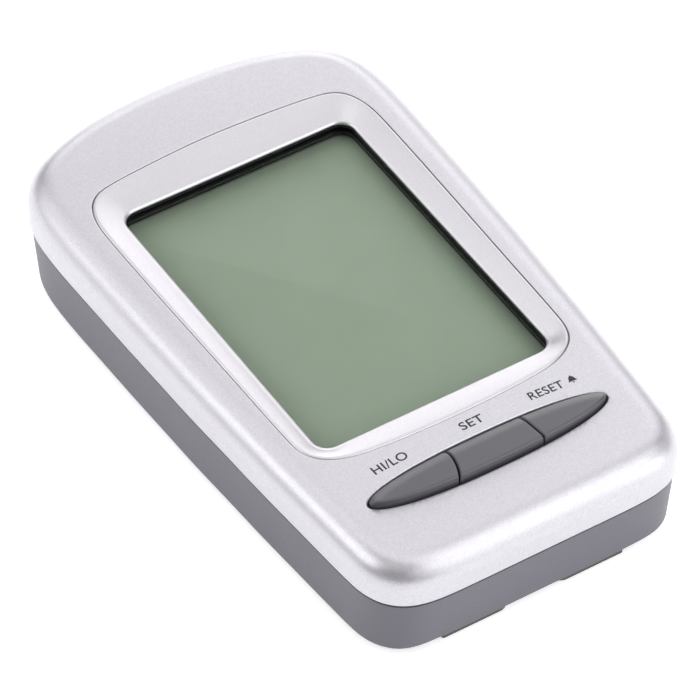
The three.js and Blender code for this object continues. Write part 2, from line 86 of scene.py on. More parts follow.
# ------------------------------------------------------------------ outlines
class Outline:
    """A closed, smoothed curve through a table of points, sampled evenly, from the middle of the bottom edge round by +X."""

    M = 4096

    def __init__(self, half, corner_low, corner_high, zone_low, zone_high, cutoff):
        right = [((x * U), (y + 3.35) * U) for x, y in half]
        pts = np.array(right + [(-x, y) for x, y in reversed(right[1:-1])])
        n = len(pts)
        dense = []
        for i in range(n):
            p0, p1, p2, p3 = (pts[(i + k) % n] for k in (-1, 0, 1, 2))
            t0 = 0.0
            t1 = t0 + max(1e-6, np.linalg.norm(p1 - p0)) ** 0.5
            t2 = t1 + max(1e-6, np.linalg.norm(p2 - p1)) ** 0.5
            t3 = t2 + max(1e-6, np.linalg.norm(p3 - p2)) ** 0.5
            t = np.linspace(t1, t2, 60, endpoint=False)[:, None]
            a1 = (t1 - t) / (t1 - t0) * p0 + (t - t0) / (t1 - t0) * p1
            a2 = (t2 - t) / (t2 - t1) * p1 + (t - t1) / (t2 - t1) * p2
            a3 = (t3 - t) / (t3 - t2) * p2 + (t - t2) / (t3 - t2) * p3
            b1 = (t2 - t) / (t2 - t0) * a1 + (t - t0) / (t2 - t0) * a2
            b2 = (t3 - t) / (t3 - t1) * a2 + (t - t1) / (t3 - t1) * a3
            dense.append((t2 - t) / (t2 - t1) * b1 + (t - t1) / (t2 - t1) * b2)
        p = self._even(np.concatenate(dense))
        z = np.fft.fft(p[:, 0] + 1j * p[:, 1])
        length = np.linalg.norm(np.roll(p, -1, 0) - p, axis=1).sum()
        f = np.abs(np.fft.fftfreq(self.M)) * self.M / length
        g = np.exp(-((f * cutoff) ** 2))
        z = np.fft.ifft(z * (2 * g - g * g))
        p = self._even(np.stack([z.real, z.imag], 1))
        # both halves exactly alike
        q = p[(-np.arange(self.M)) % self.M]
        p = np.stack([(p[:, 0] - q[:, 0]) / 2, (p[:, 1] + q[:, 1]) / 2], 1)
        self.p = p
        t = np.roll(p, -3, 0) - np.roll(p, 3, 0)
        t /= np.linalg.norm(t, axis=1)[:, None]
        self.n = np.stack([t[:, 1], -t[:, 0]], 1)
        half_m = self.M // 2
        near = lambda c: int(np.argmin(((p[:half_m] - (np.array(c) + (0, 3.35)) * U) ** 2).sum(1)))
        per = self.M / np.linalg.norm(np.roll(p, -1, 0) - p, axis=1).sum()
        lo, hi = near(corner_low), near(corner_high)
        stops = [0, lo - zone_low * per / 2, lo + zone_low * per / 2, hi - zone_high * per / 2, hi + zone_high * per / 2, half_m]
        counts = [20, 16, 44, 16, 20]
        s = np.concatenate([np.linspace(stops[k], stops[k + 1], counts[k], endpoint=False) for k in range(5)] + [[half_m]])
        self.s = np.concatenate([s, (self.M - s[1:-1])[::-1]])

    def _even(self, p):
        q = np.vstack([p, p[:1]])
        d = np.concatenate([[0], np.cumsum(np.linalg.norm(np.diff(q, axis=0), axis=1))])
        t = np.linspace(0, d[-1], self.M, endpoint=False)
        return np.stack([np.interp(t, d, q[:, 0]), np.interp(t, d, q[:, 1])], 1)

    def ring(self, inset):
        i0 = np.floor(self.s).astype(int)
        k = (self.s - i0)[:, None]
        a, b = i0 % self.M, (i0 + 1) % self.M
        return self.p[a] * (1 - k) + self.p[b] * k - (self.n[a] * (1 - k) + self.n[b] * k) * inset


def window_ring(out=0.0, w=WW, h=WH, r=WR):
    """The display window's outline, point for point with the groove's."""
    w, h, r = w + 2 * out, h + 2 * out, max(0.05, r + out)
    x, y = w / 2, h / 2
    a = np.linspace(0, math.pi / 2, 16, endpoint=False)
    half = [np.stack([np.linspace(0, x - r, 20, endpoint=False), np.full(20, -y)], 1),
            np.stack([x - r + r * np.sin(a), -y + r - r * np.cos(a)], 1),
            np.stack([np.full(44, x), np.linspace(-y + r, y - r, 44, endpoint=False)], 1),
            np.stack([x - r + r * np.cos(a), y - r + r * np.sin(a)], 1),
            np.stack([np.linspace(x - r, 0, 20, endpoint=False), np.full(20, y)], 1), [[0, y]]]
    half = np.concatenate(half)
    full = np.concatenate([half, half[1:-1][::-1] * (-1, 1)])
    return full + (0, WY)


case = Outline(CASE_HALF, (29.3, -61.0), (31.6, 49.8), 12, 14, 9.0)
groove = Outline(GROOVE_HALF, (25.2, -34.3), (25.9, 37.3), 8, 9, 5.0)
GROOVE_TOP = groove.p[:, 1].max()


def crown(y):
    t = np.clip((y - GROOVE_TOP) / (60 - GROOVE_TOP), 0, None)
    return 0.5 * t * t


# ------------------------------------------------------------------ meshes
def make(name, verts, faces):
    """A closed mesh from points in mm, turned to face outwards."""
    me = bpy.data.meshes.new(name)
    me.from_pydata([tuple(float(c) * MM for c in v) for v in verts], [], [tuple(int(i) for i in f) for f in faces])
    bm = bmesh.new()
    bm.from_mesh(me)
    bmesh.ops.remove_doubles(bm, verts=bm.verts, dist=2e-7)
    bmesh.ops.dissolve_degenerate(bm, edges=bm.edges, dist=1e-7)
    bmesh.ops.recalc_face_normals(bm, faces=bm.faces)
    if bm.calc_volume(signed=True) < 0:
        bmesh.ops.reverse_faces(bm, faces=bm.faces)
    bm.to_mesh(me)
    bm.free()
    ob = bpy.data.objects.new(name, me)
    bpy.context.scene.collection.objects.link(ob)
    return ob


def grid_faces(rows, n, close_rows=False, close_n=True):
    f = []
    for j in range(rows if close_rows else rows - 1):
        a, b = j * n, ((j + 1) % rows) * n
        for i in range(n if close_n else n - 1):
            k = (i + 1) % n
            f.append((a + i, a + k, b + k, b + i))
    return f


def loft(name, rings, closed=False, caps=True):
    """Rings of equal length, joined in order. closed joins the last to the first, and caps close both ends."""
    rings = [np.asarray(r, float) for r in rings]
    n = len(rings[0])
    f = grid_faces(len(rings), n, closed)
    if not closed and caps:
        f.append(tuple(range(n))[::-1])
        f.append(tuple(range((len(rings) - 1) * n, len(rings) * n)))
    return make(name, np.concatenate(rings), f)


def at(xy, z):
    xy = np.asarray(xy)
    return np.column_stack([xy, np.broadcast_to(z, len(xy))])


def lathe(name, profile, centre=(0, 0, 0), axis="z", n=48):
    """profile is (radius, height) from one end to the other, starting and ending on the axis."""
    a = np.linspace(0, 2 * math.pi, n, endpoint=False)
    rings = []
    for r, h in profile:
        x, y, z = r * np.cos(a), r * np.sin(a), np.full(n, h)
        rings.append(np.stack({"z": (x, y, z), "x": (z, x, y), "-z": (x, -y, -z)}[axis], 1) + centre)
    return loft(name, rings, caps=False)


def rbox(name, x0, x1, y0, y1, z0, z1, r=0.2, seg=3):
    v = [(x, y, z) for z in (z0, z1) for y in (y0, y1) for x in (x0, x1)]
    ob = make(name, v, [(0, 1, 3, 2), (4, 6, 7, 5), (0, 4, 5, 1), (1, 5, 7, 3), (3, 7, 6, 2), (2, 6, 4, 0)])
    if r:
        bm = bmesh.new()
        bm.from_mesh(ob.data)
        bmesh.ops.bevel(bm, geom=bm.edges[:], offset=r * MM, offset_type="OFFSET", segments=seg, profile=0.5, affect="EDGES", clamp_overlap=True)
        bm.to_mesh(ob.data)
        bm.free()
    return ob


def round_rect(w, h, r, cx=0.0, cy=0.0, seg=8):
    pts = []
    for sx, sy, a0 in ((1, -1, -90), (1, 1, 0), (-1, 1, 90), (-1, -1, 180)):
        for a in np.linspace(a0, a0 + 90, seg + 1):
            t = math.radians(a)
            pts.append((cx + sx * (w / 2 - r) + r * math.cos(t), cy + sy * (h / 2 - r) + r * math.sin(t)))
    return np.array(pts)


def offset(pts, d):
    """A closed counter-clockwise outline moved outwards by d."""
    e = np.roll(pts, -1, 0) - pts
    keep = np.linalg.norm(e, axis=1) > 1e-9
    pts, e = pts[keep], e[keep]
    n = np.stack([e[:, 1], -e[:, 0]], 1) / np.linalg.norm(e, axis=1)[:, None]
    m = n + np.roll(n, 1, 0)
    m = m / np.maximum(1e-9, (m * m).sum(1))[:, None] * 2
    return pts + m * d


def plate(name, pts, z0, z1, r_low=0.0, r_high=0.0, seg=4):
    """An outline extruded from z0 to z1 with rounded lower and upper edges."""
    rings = []
    for k in range(seg + 1) if r_low else [seg]:
        t = k / seg * math.pi / 2 if r_low else math.pi / 2
        rings.append(at(offset(pts, -r_low * (1 - math.sin(t))), z0 + r_low * (1 - math.cos(t))))
    for k in range(seg + 1) if r_high else [0]:
        t = k / seg * math.pi / 2 if r_high else 0
        rings.append(at(offset(pts, -r_high * (1 - math.cos(t))), z1 - r_high * (1 - math.sin(t))))
    return loft(name, rings)


def cutter(pts, z_face, z_end, flare=0.3, start=-3.0):
    """A prism that enters through a face at z_face, with a rounded mouth, and ends at z_end."""
    s = 1 if z_end > z_face else -1
    rings = [at(offset(pts, flare + 0.6), z_face + s * start), at(offset(pts, flare + 0.25), z_face - s * 0.08)]
    for k in range(1, 6):
        t = k / 5 * math.pi / 2
        rings.append(at(offset(pts, flare * (1 - math.sin(t))), z_face + s * flare * (1 - math.cos(t)) + s * 0.001))
    rings.append(at(pts, z_end))
    return loft("cutter", rings)


def circle(x, y, r, n=40):
    a = np.linspace(0, 2 * math.pi, n, endpoint=False)
    return np.stack([x + r * np.cos(a), y + r * np.sin(a)], 1)


def boolean(ob, others, operation="DIFFERENCE"):
    for other in others:
        m = ob.modifiers.new("b", "BOOLEAN")
        m.operation, m.object, m.solver = operation, other, "EXACT"
        dg = bpy.context.evaluated_depsgraph_get()
        me = bpy.data.meshes.new_from_object(ob.evaluated_get(dg))
        ob.modifiers.clear()
        old, ob.data = ob.data, me
        bpy.data.meshes.remove(old)
        bpy.data.objects.remove(other)
    return ob


def soften(ob, angle=32, weighted=False, bevel=0.0, segments=2):
    if bevel:
        m = ob.modifiers.new("edges", "BEVEL")
        m.width, m.segments, m.limit_method, m.angle_limit = bevel * MM, segments, "ANGLE", math.radians(38)
        m.use_clamp_overlap = True
    ob.data.shade_smooth()
    ob.data.set_sharp_from_angle(angle=math.radians(angle))
    if weighted:
        w = ob.modifiers.new("normals", "WEIGHTED_NORMAL")
        w.keep_sharp, w.mode, w.weight = True, "FACE_AREA", 80
    return ob


def done(ob, body, material, replaces=()):
    ob.data.materials.clear()
    ob.data.materials.append(material)
    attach(ob, body)
    if replaces:
        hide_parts(*replaces)
    return ob


# ------------------------------------------------------------------ materials
def lin(c):
    return tuple((v / 12.92 if v <= 0.04045 else ((v + 0.055) / 1.055) ** 2.4) for v in (x / 255 for x in c)) + (1,)


def material(name, rgb, rough, metallic=0.0, rough_var=0.06, tone=0.06, blotch=0.0, grain=0.15, bump=0.15, bump_mm=0.01,
             flakes=0.0, flake_mm=0.13, coat=0.0, coat_rough=0.2, ior=1.46, alpha=1.0, wear=0.0, specular=0.5):
    """A procedural surface: tone that varies finely and broadly, roughness that varies with it, and a fine bump."""
    m = bpy.data.materials.new(name)
    m.use_nodes = True
    nt = m.node_tree
    n, l = nt.nodes, nt.links
    bsdf = n["Principled BSDF"]
    bsdf.inputs["Metallic"].default_value = metallic
    bsdf.inputs["IOR"].default_value = ior
    bsdf.inputs["Specular IOR Level"].default_value = specular
    bsdf.inputs["Coat Weight"].default_value = coat
    bsdf.inputs["Coat Roughness"].default_value = coat_rough
    bsdf.inputs["Alpha"].default_value = alpha
    co = n.new("ShaderNodeTexCoord").outputs["Object"]

    def noise(size_mm, detail=3.0, rough_=0.55, offset_=0.0):
        t = n.new("ShaderNodeTexNoise")
        t.inputs["Scale"].default_value = 1 / (size_mm * MM)
        t.inputs["Detail"].default_value = detail
        t.inputs["Roughness"].default_value = rough_
        if offset_:
            mp = n.new("ShaderNodeMapping")
            mp.inputs["Location"].default_value = (offset_, offset_ * 1.7, -offset_)
            l.new(co, mp.inputs["Vector"])
            l.new(mp.outputs["Vector"], t.inputs["Vector"])
        else:
            l.new(co, t.inputs["Vector"])
        return t.outputs["Fac"]

    def span(value, lo, hi, a=0.3, b=0.7):
        t = n.new("ShaderNodeMapRange")
        t.inputs["From Min"].default_value, t.inputs["From Max"].default_value = a, b
        t.inputs["To Min"].default_value, t.inputs["To Max"].default_value = lo, hi
        l.new(value, t.inputs["Value"])
        return t.outputs["Result"]

    def math_(op, a, b):
        t = n.new("ShaderNodeMath")
        t.operation = op
        for k, v in enumerate((a, b)):
            if isinstance(v, (int, float)):
                t.inputs[k].default_value = v
            else:
                l.new(v, t.inputs[k])
        return t.outputs[0]

    fine = noise(grain)
    broad = noise(9.0, 2.0, 0.5, 0.37)
    value = math_("ADD", span(fine, -tone / 2, tone / 2), span(broad, -blotch / 2, blotch / 2))
    height = span(fine, 0, bump)
    if flakes:
        v = n.new("ShaderNodeTexVoronoi")
        v.inputs["Scale"].default_value = 1 / (flake_mm * MM)
        l.new(co, v.inputs["Vector"])
        sep = n.new("ShaderNodeSeparateColor")
        l.new(v.outputs["Color"], sep.inputs["Color"])
        value = math_("ADD", value, span(sep.outputs[0], -flakes, flakes, 0, 1))
        height = math_("ADD", height, span(sep.outputs[1], 0, bump * 0.8, 0, 1))
    if wear:
        g = n.new("ShaderNodeNewGeometry")
        value = math_("ADD", value, span(g.outputs["Pointiness"], 0, wear, 0.5, 0.62))
    value = math_("ADD", value, 1.0)
    hsv = n.new("ShaderNodeHueSaturation")
    hsv.inputs["Color"].default_value = lin(rgb)
    l.new(value, hsv.inputs["Value"])
    l.new(hsv.outputs["Color"], bsdf.inputs["Base Color"])
    l.new(span(noise(grain * 3, 2.0, 0.5, 0.11), rough - rough_var / 2, rough + rough_var / 2), bsdf.inputs["Roughness"])
    b = n.new("ShaderNodeBump")
    b.inputs["Strength"].default_value = 0.5
    b.inputs["Distance"].default_value = bump_mm * MM
    l.new(height, b.inputs["Height"])
    l.new(b.outputs["Normal"], bsdf.inputs["Normal"])
    return m


M = {
    "silver": material("silver_paint", (199, 197, 203), 0.40, metallic=0.72, tone=0.05, blotch=0.012, grain=0.22, flakes=0.075, flake_mm=0.16, bump=0.9, bump_mm=0.0035, coat=0.25, coat_rough=0.28),
    "bezel": material("bezel_silver_paint", (202, 200, 205), 0.36, metallic=0.8, tone=0.04, blotch=0.01, grain=0.2, flakes=0.05, flake_mm=0.12, bump=0.7, bump_mm=0.003, coat=0.2, coat_rough=0.25),
    "grey": material("moulded_grey_plastic", (99, 98, 107), 0.46, tone=0.035, blotch=0.02, grain=0.2, bump=1.0, bump_mm=0.004, specular=0.45),
    # stand: the rear cover's grey plastic made darker, and that extra darkness is painted shade on the toes
    "stand": material("stand_plastic_painted_shade", (82, 79, 79), 0.5, tone=0.035, blotch=0.02, grain=0.2, bump=1.0, bump_mm=0.004, specular=0.4),
    "key": material("satin_key_plastic", (77, 76, 82), 0.33, tone=0.03, blotch=0.02, grain=0.25, bump=0.4, bump_mm=0.003, coat=0.35, coat_rough=0.3, specular=0.5),
    "black": material("black_plastic", (22, 22, 24), 0.5, tone=0.1, blotch=0.05, grain=0.15, bump=1.0, bump_mm=0.004),
    "lcd": material("lcd_glass", (150, 166, 146), 0.42, tone=0.02, blotch=0.035, grain=0.35, bump=0.3, bump_mm=0.001, specular=0.2),
    "lens": material("clear_window", (38, 42, 39), 0.24, tone=0.01, grain=2.0, rough_var=0.03, bump=0.1, bump_mm=0.0005, alpha=0.07, specular=0.5),
    "ink": material("printed_ink", (34, 34, 38), 0.55, tone=0.12, grain=0.08, bump=0.5, bump_mm=0.002),
    "board": material("board_solder_mask", (24, 84, 48), 0.32, tone=0.15, blotch=0.1, grain=0.6, bump=0.8, bump_mm=0.01, coat=0.3),
    "epoxy": material("epoxy_blob", (14, 14, 15), 0.22, tone=0.2, grain=0.5, bump=0.6, bump_mm=0.01),
    "steel": material("plated_steel", (190, 192, 196), 0.24, metallic=1.0, rough_var=0.12, tone=0.08, blotch=0.06, grain=0.3, bump=0.6, bump_mm=0.003),
    "brass": material("brass_disc", (196, 162, 84), 0.3, metallic=1.0, rough_var=0.12, tone=0.1, blotch=0.1, grain=0.4, bump=0.6, bump_mm=0.004),
    "can": material("capacitor_sleeve", (26, 36, 66), 0.3, tone=0.08, grain=0.4, bump=0.3, bump_mm=0.004),
    "rubber": material("silicone_rubber", (196, 196, 190), 0.7, tone=0.05, grain=0.3, bump=0.8, bump_mm=0.01),
    "zebra": material("elastomer_strip", (206, 156, 150), 0.7, tone=0.12, grain=0.25, bump=0.8, bump_mm=0.01),
    "cell": material("cell_wrap", (46, 84, 130), 0.26, metallic=0.35, tone=0.04, blotch=0.03, grain=0.5, bump=0.3, bump_mm=0.004, coat=0.4),
    "cell_band": material("cell_wrap_band", (205, 168, 74), 0.28, metallic=0.6, tone=0.04, blotch=0.03, grain=0.5, bump=0.3, bump_mm=0.004, coat=0.4),
    "red": material("wire_red", (150, 26, 24), 0.42, tone=0.06, grain=0.4, bump=0.4, bump_mm=0.006),
    "wire_black": material("wire_black", (24, 24, 25), 0.42, tone=0.1, grain=0.4, bump=0.4, bump_mm=0.006),
    "bead": material("sensor_bead", (28, 24, 22), 0.28, tone=0.2, grain=0.4, bump=0.6, bump_mm=0.01),
}

# ------------------------------------------------------------------ front cover
EDGE = 4.9
EXP = 2.12


def arc(r, steps, e=2.0):
    """(inset, fall) pairs of a quarter rounding from the wall to the face."""
    out = []
    for k in range(steps + 1):
        t = k / steps * math.pi / 2
        out.append((r * (1 - math.cos(t) ** (2 / e)), r * (1 - math.sin(t) ** (2 / e))))
    return out


def cover_ring(xy, z):
    xy = np.asarray(xy)
    share = np.clip((z - SPLIT) / (H - SPLIT), 0, 1)
    return at(xy, z - crown(xy[:, 1]) * share)


rings = [cover_ring(case.ring(1.8), SPLIT), cover_ring(case.ring(0.3), SPLIT), cover_ring(case.ring(0.09), SPLIT + 0.06), cover_ring(case.ring(0.0), SPLIT + 0.26)]
for z in np.linspace(SPLIT + 0.9, H - EDGE - 0.6, 3):
    rings.append(cover_ring(case.ring(0.0), z))
rings += [cover_ring(case.ring(d), H - f) for d, f in arc(EDGE, 22, EXP)]
face, mouth = case.ring(EDGE), groove.ring(-0.17)
for t in np.linspace(0, 1, 12)[1:]:
    rings.append(cover_ring(face * (1 - t) + mouth * t, H))
rings += [cover_ring(groove.ring(-0.17 + d), H - f) for d, f in [(0.07, 0.01), (0.12, 0.035), (0.155, 0.08), (0.17, 0.14)]]
rings += [at(groove.ring(0.0), H - 0.8), at(groove.ring(0.0), H - 1.5), at(groove.ring(1.9), H - 1.5), at(groove.ring(1.9), H - 1.8)]
under = case.ring(5.0)
for t in np.linspace(0, 1, 5)[1:]:
    rings.append(cover_ring(groove.ring(1.9) * (1 - t) + under * t, H - 1.8))
for d, f in arc(3.2, 6)[::-1][1:]:
    rings.append(cover_ring(case.ring(1.8 + d), H - 1.8 - f))
rings.append(cover_ring(case.ring(1.8), SPLIT + 0.5))
shell = loft("front_cover_shell", rings, closed=True)


def oval(a, b, n=200):
    t = np.linspace(0, 2 * math.pi, n, endpoint=False)
    return np.stack([a * np.sign(np.cos(t)) * np.abs(np.cos(t)) ** (2 / KP), KY + b * np.sin(t)], 1)


def oval_ring(d, z):
    return at(oval(KA + d, KB + d), z)


mouth_cut = loft("cutter", [oval_ring(0.75, H + 2), oval_ring(0.5, H + 0.06), oval_ring(0.3, H - 0.004), oval_ring(0.17, H - 0.04), oval_ring(0.07, H - 0.12),
                            oval_ring(0.015, H - 0.22), oval_ring(0, H - 0.34), oval_ring(0, H - 6)])
boolean(shell, [mouth_cut])
done(soften(shell, 34, weighted=True), "case", M["silver"], ["front_cover"])

# ------------------------------------------------------------------ display bezel
DROP = 1.1
rings = [at(groove.ring(0.11), H - 1.2), at(groove.ring(0.11), H - 0.26), at(groove.ring(0.13), H - 0.16), at(groove.ring(0.21), H - 0.07), at(groove.ring(0.38), H - 0.02), at(groove.ring(0.6), H - 0.015)]
outer, inner = groove.ring(0.6), window_ring(0.75)
for t in np.linspace(0, 1, 12)[1:]:
    fall = 0.02 + (DROP - 0.2) * (0.72 * t + 0.28 * t * t)
    rings.append(at(outer * (1 - t) + inner * t, H - fall))
rings += [at(window_ring(0.5), H - DROP + 0.14), at(window_ring(0.3), H - DROP + 0.05), at(window_ring(0.14), H - DROP - 0.04), at(window_ring(0.04), H - DROP - 0.18),
          at(window_ring(0.0), H - DROP - 0.36), at(window_ring(0.0), H - 2.1), at(groove.ring(2.3), H - 2.1), at(groove.ring(2.3), H - 1.2)]
bezel = loft("display_bezel_frame", rings, closed=True)
done(soften(bezel, 40), "case", M["bezel"], ["display_bezel"])
bezel.data.materials.append(M["black"])
for p in bezel.data.polygons:          # the paint stops at the lip: the wall below it is left black
    if abs(p.center.x) < (WW / 2 + 0.2) * MM and abs(p.center.y - WY * MM) < (WH / 2 + 0.2) * MM and p.center.z < (H - DROP - 0.27) * MM:
        p.material_index = 1

# ------------------------------------------------------------------ display stack
lens_lo, lens_hi = node("display_lens")
lens = plate("display_window_plate", window_ring(0, lens_hi[0] - lens_lo[0], lens_hi[1] - lens_lo[1], 2.0), lens_lo[2], lens_hi[2], 0.08, 0.12, 3)
done(soften(lens, 50), "case", M["lens"], ["display_lens"])

f_lo, f_hi = node("lcd_frame")
p_lo, p_hi = node("lcd_panel")
step = p_hi[2] + 0.3
ring_ = lambda w, h, r, z: at(window_ring(0, w, h, r), z)
fw, fh = f_hi[0] - f_lo[0], f_hi[1] - f_lo[1]
frame_ring = loft("display_frame", [
    ring_(48.6, 67.2, 1.0, f_lo[2]), ring_(fw, fh, 2.2, f_lo[2]), ring_(fw, fh, 2.2, f_hi[2] - 0.15), ring_(fw - 0.3, fh - 0.3, 2.1, f_hi[2]),
    ring_(47.9, 66.7, 2.2, f_hi[2]), ring_(47.8, 66.6, 2.2, f_hi[2] - 0.1), ring_(47.8, 66.6, 2.2, lens_lo[2] - 0.3), ring_(45.0, 63.8, 2.6, lens_lo[2] - 0.3),
    ring_(44.7, 63.5, 2.6, lens_lo[2] - 0.42), ring_(44.7, 63.5, 2.6, step + 0.04), ring_(44.8, 63.6, 2.6, step), ring_(48.6, 67.2, 1.0, step)], closed=True)
done(soften(frame_ring, 40), "case", M["black"], ["lcd_frame"])

panel = plate("display_panel", window_ring(0, p_hi[0] - p_lo[0], p_hi[1] - p_lo[1], 0.6), p_lo[2], p_hi[2], 0.06, 0.06, 2)
done(soften(panel, 50), "case", M["lcd"], ["lcd_panel"])

# ------------------------------------------------------------------ keys
RISE, SLOPE = 1.05, 0.12
SEAT = H - 1.8 - 0.3


def gap_x(table, y):
    return np.interp(y, table[0], table[1])


def drop_at(d, r):
    d = np.clip(d, 0, r)
    return r - np.sqrt(np.maximum(0, r * r - (r - d) ** 2))


def key_piece(name, left, right, a, b, top, bottom, rounds=(0.5, 2.4, 0.28, 0.38), nu=70, nv=44):
    ease = lambda t: 0.3 * t + 0.7 * (0.5 - 0.5 * np.cos(math.pi * t))
    us, vs = ease(np.linspace(0, 1, nu)), ease(np.linspace(0, 1, nv))
    uu, vv = np.meshgrid(us, vs)
    arc_y = lambda x: b * np.sqrt(np.maximum(0, 1 - np.abs(x / a) ** KP))
    xl = (lambda y: gap_x(left, y) + 0.15) if left else (lambda y: np.full_like(y, -a))
    xr = (lambda y: gap_x(right, y) - 0.15) if right else (lambda y: np.full_like(y, a))
    y = np.full_like(uu, KY)
    for _ in range(12):
        x = xl(y) * (1 - uu) + xr(y) * uu
        h = arc_y(x)
        y = KY - h + 2 * h * vv
    h = arc_y(x)
    slope = np.where(h > 1e-6, b * b * KP / 2 * np.abs(x / a) ** (KP - 1) / (a * np.maximum(h, 1e-6)), 1e3)
    k = 1 / np.sqrt(1 + slope * slope)
    dl, du = (y - (KY - h)) * k, (KY + h - y) * k
    z = top(x, y) - drop_at(dl, rounds[0]) - drop_at(du, rounds[1]) * rounds[3]
    if left:
        z -= drop_at(x - xl(y), rounds[2])
    if right:
        z -= drop_at(xr(y) - x, rounds[2])
    z = np.maximum(z, bottom + 0.3)
    upper = np.stack([x, y, z], -1).reshape(-1, 3)
    lower = np.stack([x, y, np.full_like(x, bottom)], -1).reshape(-1, 3)
    n = nu * nv
    faces = []
    for j in range(nv - 1):
        for i in range(nu - 1):
            q = (j * nu + i, j * nu + i + 1, (j + 1) * nu + i + 1, (j + 1) * nu + i)
            faces.append(q)
            faces.append(tuple(v + n for v in q[::-1]))
    edge = [i for i in range(nu)] + [j * nu + nu - 1 for j in range(1, nv)] + [(nv - 1) * nu + i for i in range(nu - 2, -1, -1)] + [j * nu for j in range(nv - 2, 0, -1)]
    for i, p in enumerate(edge):
        q = edge[(i + 1) % len(edge)]
        faces.append((p, p + n, q + n, q))
    return make(name, np.concatenate([upper, lower]), faces)


KEYS = {"left": (None, GAP_LEFT), "middle": (GAP_LEFT, GAP_RIGHT), "right": (GAP_RIGHT, None)}
for k, (lt, rt) in KEYS.items():
    lo, hi = node(f"key_{k}")
    body = f"key_{k}"
    cap = key_piece(f"{body}_cap", lt, rt, KA - 0.35, KB - 0.4, lambda x, y: H + RISE + SLOPE * (KY - y), SEAT - 0.02)
    done(soften(cap, 42), body, M["key"], [body])
    flange = key_piece(f"{body}_flange", lt, rt, KA + 0.9, KB + 0.9, lambda x, y: np.full_like(x, SEAT), SEAT - 1.2, rounds=(0.1, 0.1, 0.1, 1.0), nu=40, nv=16)
    done(soften(flange, 42), body, M["key"])
    px = {"left": -14.6, "middle": 0.0, "right": 14.6}[k]
    post = lathe(f"{body}_post", [(0, lo[2]), (1.9, lo[2]), (2.1, lo[2] + 0.1), (2.2, lo[2] + 0.3), (2.2, SEAT - 1.1), (0, SEAT - 1.1)], (px, KY, 0), n=32)
    done(soften(post, 42), body, M["key"])


# ------------------------------------------------------------------ printed legends: plain function words and a bell sign
def legend(name, text, cx, cy, turn, width, height):
    cu = bpy.data.curves.new(name + "_text", "FONT")
    cu.body, cu.align_x, cu.align_y, cu.size = text, "CENTER", "CENTER", 1.0
    cu.space_character = 1.04
    cu.offset = 0.012
    tmp = bpy.data.objects.new(name + "_text", cu)
    bpy.context.scene.collection.objects.link(tmp)
    dg = bpy.context.evaluated_depsgraph_get()
    me = bpy.data.meshes.new_from_object(tmp.evaluated_get(dg))
    bpy.data.objects.remove(tmp)
    co = np.array([v.co for v in me.vertices])
    faces = [tuple(p.vertices) for p in me.polygons]
    lo, hi = co.min(0), co.max(0)
    xy = (co[:, :2] - (lo[:2] + hi[:2]) / 2) * (width / (hi[0] - lo[0]), height / (hi[1] - lo[1]))
    return print_flat(name, xy, faces, cx, cy, turn)


def print_flat(name, xy, faces, cx, cy, turn, thick=0.02):
    t = math.radians(turn)
    r = np.array([[math.cos(t), math.sin(t)], [-math.sin(t), math.cos(t)]])
    xy = np.asarray(xy) @ r + (cx, cy)
    bm = bmesh.new()
    vs = [bm.verts.new((x * MM, y * MM, (H - 0.004) * MM)) for x, y in xy]
    for f in faces:
        try:
            bm.faces.new([vs[i] for i in f])
        except ValueError:
            pass
    bmesh.ops.remove_doubles(bm, verts=bm.verts, dist=1e-8)
    geom = bmesh.ops.extrude_face_region(bm, geom=bm.faces[:])
    up = [g for g in geom["geom"] if isinstance(g, bmesh.types.BMVert)]
    bmesh.ops.translate(bm, verts=up, vec=(0, 0, thick * MM))
    bmesh.ops.recalc_face_normals(bm, faces=bm.faces)
    me = bpy.data.meshes.new(name)
    bm.to_mesh(me)
    bm.free()
    ob = bpy.data.objects.new(name, me)
    bpy.context.scene.collection.objects.link(ob)
    return done(ob, "case", M["ink"])


legend("legend_left", "HI/LO", -14.9, -37.0, 3.3, 6.6, 1.75)
legend("legend_middle", "SET", 0.97, -36.5, 0.3, 4.3, 1.75)
legend("legend_right", "RESET", 15.0, -37.0, -3.6, 6.3, 1.75)
bell = [(-0.85, -0.42), (-0.62, -0.2), (-0.52, 0.25), (-0.34, 0.58), (-0.12, 0.72), (-0.08, 0.9), (0.08, 0.9), (0.12, 0.72), (0.34, 0.58), (0.52, 0.25), (0.62, -0.2), (0.85, -0.42)]
clapper = [(0.24 * math.cos(a), -0.6 + 0.18 * math.sin(a)) for a in np.linspace(math.pi, 2 * math.pi, 9)]
print_flat("legend_bell", bell + clapper, [tuple(range(12)), tuple(range(12, 12 + len(clapper)))], 19.9, -37.2, -4)

# ------------------------------------------------------------------ rear cover
rear_line = lambda d: case.ring(0.35 + d)


def taper(v):
    v = np.asarray(v, float).copy()
    t = np.clip((RIM - v[:, 2]) / (RIM - FLOOR), 0, 1)
    s = np.clip((np.abs(v[:, 0]) - 18) / 9, 0, 1)
    corner = np.where(v[:, 1] < 0, (s * s * (3 - 2 * s)) * 0.3, 0)
    v[:, 0] *= 1 - 0.011 * t
    v[:, 1] *= 1 - 0.028 * (1 - corner) * t
    return v


